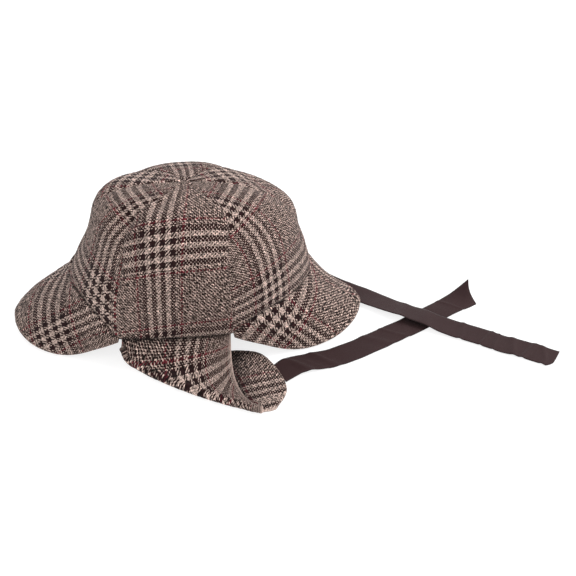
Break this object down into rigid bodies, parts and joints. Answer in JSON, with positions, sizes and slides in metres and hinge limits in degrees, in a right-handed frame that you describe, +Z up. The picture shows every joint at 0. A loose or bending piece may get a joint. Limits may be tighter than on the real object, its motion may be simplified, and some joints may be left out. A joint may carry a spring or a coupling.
{
  "type": "deerstalker hat",
  "caption": "Plaid tweed deerstalker with a gored crown, a brim at each end, and ear flaps turned under with their ribbons lying loose.",
  "frame": {"origin": "on the surface that the hat lies on, under the middle of the hat's outline without its ribbons", "axes": "+X toward the front brim, +Z up, -Y toward the near ear flap"},
  "size_m": [0.4644, 0.2774, 0.135],
  "materials": {
    "tweed": "woven wool in a glen plaid of taupe, near-black brown and burgundy",
    "ribbon": "ribbed ribbon with a soft sheen"
  },
  "bodies": {
    "root": {"gore_front_far": "tweed", "gore_side_far": "tweed", "gore_back_far": "tweed", "gore_back_near": "tweed", "gore_side_near": "tweed", "gore_front_near": "tweed", "brim_front": "tweed", "brim_back": "tweed", "ear_flap_near": "tweed", "ear_flap_far": "tweed", "ribbon_near": "ribbon", "ribbon_far": "ribbon"}
  },
  "joints": []
}
